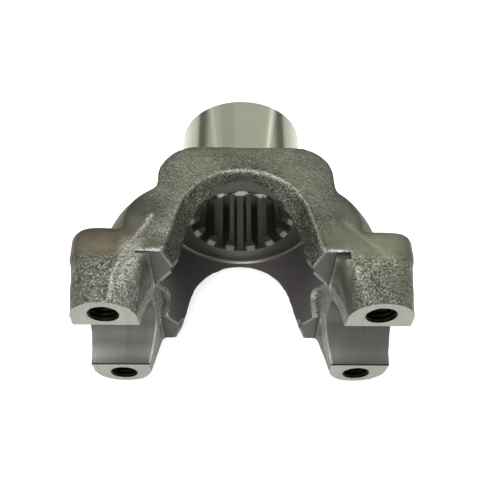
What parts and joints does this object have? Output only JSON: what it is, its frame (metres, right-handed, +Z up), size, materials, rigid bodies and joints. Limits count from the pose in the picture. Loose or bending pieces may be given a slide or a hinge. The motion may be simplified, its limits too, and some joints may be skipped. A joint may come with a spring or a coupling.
{
  "type": "differential flange",
  "caption": "Forged half-round end yoke on a splined hub: machined saddles and tapped bolt faces clamp a cross joint's bearing caps.",
  "frame": {"origin": "centre of the cross joint: the saddles' axis meets the hub axis here, on the plane of the bolt faces", "axes": "+Y along the hub axis, from the cross to the hub's end; X along the cross axis through both saddles; +Z up, with the yoke lying on the flat underside of its forging"},
  "size_m": [0.1218, 0.1021, 0.0716],
  "materials": {
    "forged_steel": "forged skin with machined faces"
  },
  "bodies": {
    "root": {"yoke_flange": "forged_steel"}
  },
  "joints": []
}
